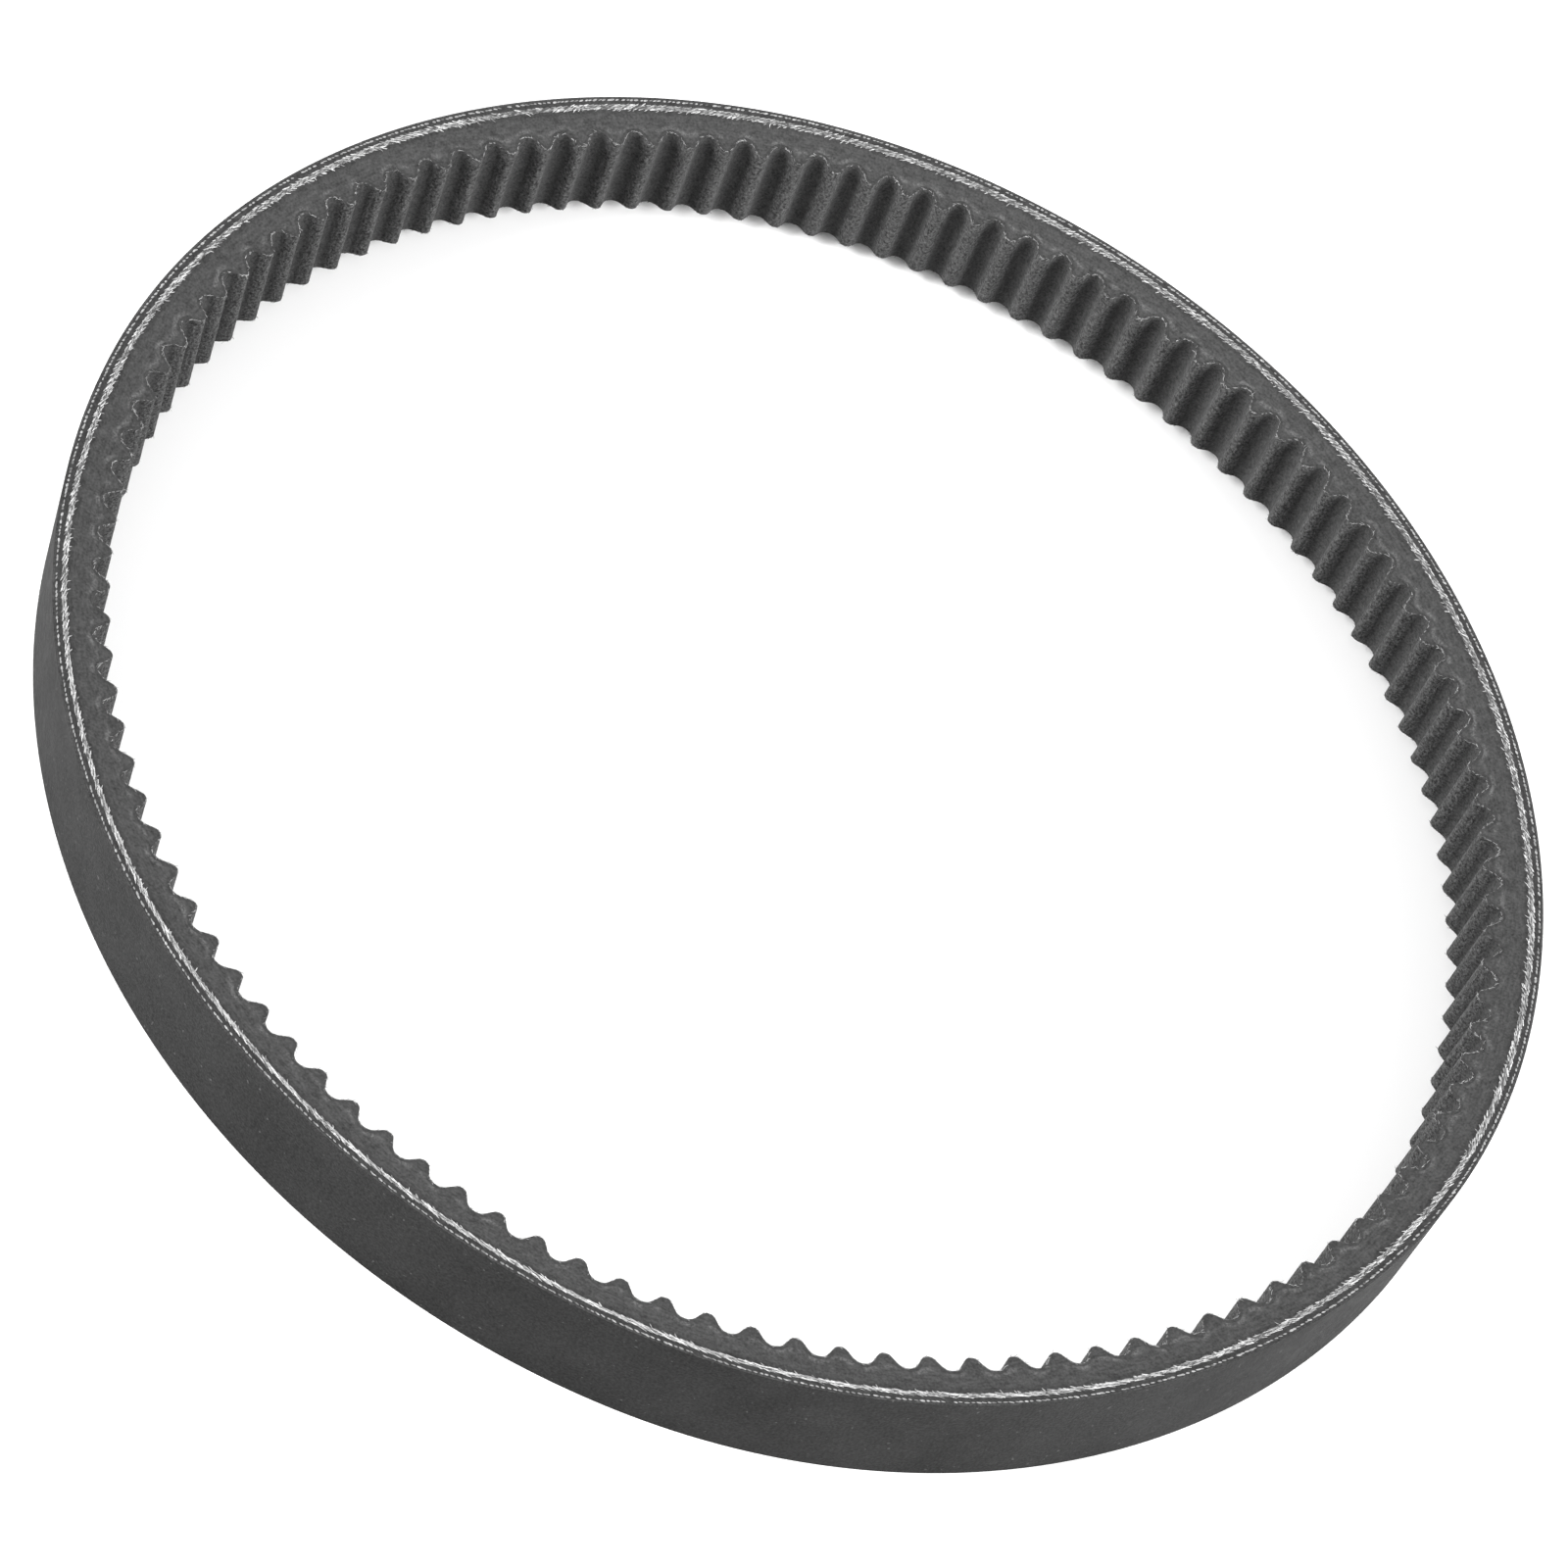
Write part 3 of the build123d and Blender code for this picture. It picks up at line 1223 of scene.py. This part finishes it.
@dataclass
class FlankDetail:
    """Everything fine that cutting left on one flank."""

    belt: Belt
    side: Side
    seed: int = 5
    yarn_spacing: float = 1.2 * MM
    strand_spacing: float = 1.35 * MM
    splice_start: float = 0.482
    splice_length: float = 16.0 * MM
    splice_kept: float = 0.3
    lay_start: float = 0.08
    lost_yarns: float = 0.03
    barbed: float = 0.5

    def __post_init__(self) -> None:
        """Start this flank's own run of chance."""
        self.chance = random.Random(self.seed * 10 + self.side.value)
        self.maker = FibreMaker(self.belt)
        self.prefix = self.side.name.lower()

    def in_splice(self, along: float) -> bool:
        """Say whether a place is where one turn of the cord runs out of the flank."""
        start = self.splice_start * self.belt.loop.length
        return start < along < start + self.splice_length

    def lay(self, along: float) -> int:
        """Give the twist's direction, because turns of both twists are wound side by side."""
        return 1 if self.lay_start < along / self.belt.loop.length < self.splice_start else -1

    def yarn_ends(self) -> bpy.types.Object:
        """Model the cut yarn ends of the inner back ply.

        Returns:
            The wrapped piece.
        """
        section = self.belt.section
        middle = (section.depths["inner_back_fabric"] + section.depths["overcord_rubber"]) / 2
        count = round(self.belt.loop.length / self.yarn_spacing)
        ends = []
        for index in range(count):
            if self.chance.random() < self.lost_yarns:
                continue
            along = (index + self.chance.uniform(-0.25, 0.25)) * self.yarn_spacing
            length = self.chance.uniform(0.7, 1.25) * MM
            slant = self.lay(along) * self.chance.gauss(11, 5)
            ends.append(Strand(
                along=along,
                depth=middle + self.chance.gauss(0.06, 0.03) * MM - math.radians(slant) * length / 2,
                lift=-0.02 * MM,
                slant=slant,
                rise=self.chance.uniform(-1, 1.5),
                length=length,
                radius=self.chance.uniform(0.17, 0.31) * MM,
                bend=self.chance.uniform(-0.06, 0.06),
                tone=self.chance.betavariate(2.4, 1.6),
            ))
        return self.maker.make(f"{self.prefix}_ply_yarn_ends", self.side, ends, flat=0.4)

    def cord_fibres(self, fibres_per_strand: int = 7) -> bpy.types.Object:
        """Model the cut strands of the cord, each a bundle of frayed fibres.

        Args:
            fibres_per_strand: fibres in each cut strand.

        Returns:
            The wrapped piece.
        """
        fibres = []
        for strand in range(round(self.belt.loop.length / self.strand_spacing)):
            start = (strand + self.chance.gauss(0, 0.16)) * self.strand_spacing
            self.add_strand(fibres, start, fibres_per_strand)
            if self.chance.random() < self.barbed and not self.in_splice(start):
                self.add_barb(fibres, start)
        return self.maker.make(f"{self.prefix}_cord_fibres", self.side, fibres, flat=0.5)

    def add_strand(self, fibres: list[Strand], start: float, count: int) -> None:
        """Add one cut strand that crosses the cord on the slant.

        Args:
            fibres: where it is added.
            start: its place along the belt.
            count: its fibres.
        """
        radius = self.belt.section.cord_radius * self.belt.cord_share(start)
        streak = self.belt.cord_streak(start)
        lay = self.lay(start)
        strand_tone = self.chance.betavariate(2.6, 1.7)
        kept = self.splice_kept if self.in_splice(start) else 1.0
        for fibre in range(count):
            if self.chance.random() > kept:
                continue
            across = (2 * (fibre + self.chance.uniform(0.1, 0.9)) / count - 1) * 0.9
            slant = self.chance.gauss(18 - 8 * streak, 11 - 6 * streak)
            length = self.chance.uniform(0.75, 1.6) * (1 + 1.3 * streak) * MM
            drop = math.sin(math.radians(slant)) * length / 2
            fibres.append(Strand(
                along=start + across * self.strand_spacing * 0.9 - length / 2,
                depth=lay * (across * (radius - 0.1 * MM) - drop) + self.belt.cord_wander(start),
                lift=self.chance.uniform(-0.03, 0.04) * MM,
                slant=lay * slant,
                rise=self.chance.uniform(-1.5, 2.5),
                length=length,
                radius=self.chance.uniform(0.08, 0.16) * MM,
                bend=self.chance.uniform(-0.08, 0.08),
                tone=min(1.0, max(0.0, strand_tone + self.chance.gauss(0, 0.3))),
            ))

    def add_barb(self, fibres: list[Strand], start: float) -> None:
        """Add a short fibre end that sticks out of the cord's inner edge.

        Args:
            fibres: where it is added.
            start: its place along the belt.
        """
        radius = self.belt.section.cord_radius * self.belt.cord_share(start)
        lay = self.lay(start)
        length = self.chance.uniform(0.6, 1.3) * MM
        fibres.append(Strand(
            along=start - lay * length / 2,
            depth=radius * self.chance.uniform(0.7, 0.95) + self.belt.cord_wander(start),
            lift=self.chance.uniform(0.0, 0.05) * MM,
            slant=(0 if lay > 0 else 180) + lay * self.chance.gauss(34, 14),
            rise=self.chance.uniform(-2, 6),
            length=length,
            radius=self.chance.uniform(0.06, 0.12) * MM,
            bend=self.chance.uniform(-0.3, 0.3),
            tone=self.chance.betavariate(2.2, 2.0),
        ))

    def cloth_fray(self, per_cog: int = 26) -> bpy.types.Object:
        """Model the frayed edge of the cloth over the cogs.

        Args:
            per_cog: fibres on each cog.

        Returns:
            The wrapped piece.
        """
        section = self.belt.section
        line = CogLine(section, 0.0, self.belt.mean_radius)
        step = 0.01
        fibres = []
        for cog in range(section.cog_count):
            worn = self.chance.betavariate(2.2, 1.6)
            for _ in range(per_cog):
                share = self.chance.uniform(0.02, 0.98)
                depth = line.depth_at(share)
                slope = (line.depth_at(share + step) - depth) / (step * section.pitch)
                fibres.append(Strand(
                    along=(cog + share) * section.pitch,
                    depth=depth - abs(self.chance.gauss(0.08, 0.07)) * MM,
                    lift=self.chance.uniform(-0.02, 0.03) * MM,
                    slant=math.degrees(math.atan(slope)) + self.chance.gauss(0, 20),
                    rise=self.chance.uniform(-4, 8),
                    length=self.chance.uniform(0.4, 1.1) * MM,
                    radius=self.chance.uniform(0.035, 0.075) * MM,
                    bend=self.chance.uniform(-0.35, 0.35),
                    tone=(0.35 + 0.65 * worn) * self.chance.betavariate(2.0, 1.3),
                ))
        return self.maker.make(f"{self.prefix}_cloth_fray", self.side, fibres, flat=0.8)


# ---- The set ----


@dataclass
class Studio:
    """Pale floor, soft light and the camera."""

    floor_size: float = 8.0
    camera_place: tuple[float, float, float] = (0.4412, -0.4918, 0.7748)
    camera_turn: tuple[float, float, float] = (36.89, -15.794, 61.70)
    lens: float = 101.99
    sensor_width: float = 36.0
    sky: float = 0.46
    floor_shade: float = 0.9
    softbox_distance: float = 1.9
    softbox_elevation: float = 26.0
    softbox_size: float = 1.1
    softbox_watts: float = 84.0
    softboxes: tuple[tuple[str, float], ...] = (("left_softbox", -118.0), ("right_softbox", 36.0))

    def floor(self, level: float) -> None:
        """Lay the floor.

        Args:
            level: its height.
        """
        bpy.ops.mesh.primitive_plane_add(size=self.floor_size, location=(0, 0, level))
        floor = bpy.context.object
        floor.name = "floor"
        finish = Finish("pale_floor")
        haze = finish.noise(0.6, detail=1.0)
        normal = finish.bump(haze, 0.02, 1 * MM)
        floor.data.materials.append(
            finish.surface(self.floor_shade + haze * 0.02, 0.9, normal, gloss=0.1)
        )

    def light(self, name: str, azimuth: float) -> None:
        """Hang a softbox that faces the belt.

        Args:
            name: its name.
            azimuth: its direction from the belt, in degrees from X.
        """
        height = math.radians(self.softbox_elevation)
        turn = math.radians(azimuth)
        towards = Vector((math.cos(height) * math.cos(turn), math.cos(height) * math.sin(turn),
                          math.sin(height)))
        bpy.ops.object.light_add(type="AREA", location=towards * self.softbox_distance)
        lamp = bpy.context.object
        lamp.name = name
        lamp.data.size = self.softbox_size
        lamp.data.energy = self.softbox_watts
        lamp.rotation_euler = (-towards).to_track_quat("-Z", "Y").to_euler()

    def shoot(self) -> None:
        """Set up the sky, the lamps and the camera."""
        world = bpy.data.worlds.new("white_sky")
        bpy.context.scene.world = world
        world.use_nodes = True
        sky = world.node_tree.nodes["Background"]
        sky.inputs[0].default_value = (1, 1, 1, 1)
        sky.inputs[1].default_value = self.sky
        bpy.context.scene.view_settings.view_transform = "Standard"
        for name, azimuth in self.softboxes:
            self.light(name, azimuth)
        bpy.ops.object.camera_add(
            location=self.camera_place, rotation=[math.radians(a) for a in self.camera_turn]
        )
        camera = bpy.context.object
        camera.data.lens = self.lens
        camera.data.sensor_width = self.sensor_width
        camera.data.clip_start = 0.01
        bpy.context.scene.camera = camera


# ---- Making it ----


def main() -> None:
    """Make every piece of the belt, then the set."""
    logging.basicConfig(level=logging.INFO, format="%(name)s: %(message)s")
    belt = Belt()
    section = belt.section
    cushion = CushionRubber().make()
    ground = GroundRubber(pitch=section.pitch / MM).make()
    back_cloth = BackCloth(section.back / MM).make()
    cut_yarn = LooseFibre("cut_yarn", 0.06, 0.31).make()
    fray = LooseFibre("cloth_fray", 0.045, 0.37).make()
    cord = CordYarn("cord_yarn", 0.03, 0.25, cut=True).make()
    wound_cord = CordYarn("wound_cord_yarn", 0.18, 0.42, cut=False).make()
    cord_fibre = LooseFibre("cord_fibre", 0.06, 0.5).make()
    cog_cloth = CogCloth(section).make()

    for name, slot, node, inner_node, material, rows in (
        ("back_cover", "back_fabric", "outer_back_fabric", "back_skim_rubber", back_cloth, 12),
        ("back_skim", "skim_rubber", "back_skim_rubber", "inner_back_fabric", cushion, 1),
        ("inner_ply", "back_fabric", "inner_back_fabric", "overcord_rubber", cushion, 1),
        ("cushion_above_cord", "cushion_rubber", "overcord_rubber", "undercord_rubber", cushion, 1),
        ("cushion_below_cord", "cushion_rubber", "undercord_rubber", "compression_rubber", ground, 1),
    ):
        layer = belt.layer(name, section.depths[node], section.depths[inner_node], rows)
        belt.fit(layer, material, slot, node)
    belt.fit(belt.cog_body(), ground, "compression_rubber", "compression_rubber")
    belt.fit(belt.cog_cloth(), cog_cloth, "facing_fabric", "cog_facing_fabric")
    for side in Side:
        belt.fit(belt.cut_cord(side), cord, "cut_cord", f"{side.name.lower()}_flank_cut_cord")
        detail = FlankDetail(belt, side)
        belt.fit(detail.cord_fibres(), cord_fibre, "cut_cord")
        belt.fit(detail.yarn_ends(), cut_yarn, "back_fabric")
        belt.fit(detail.cloth_fray(), fray, "facing_fabric")
    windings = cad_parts["tensile_cord_windings"]
    windings.data.materials.clear()
    windings.data.materials.append(wound_cord)

    studio = Studio()
    studio.floor(cad_box[0].z)
    studio.shoot()


if __name__ == "__main__":
    main()
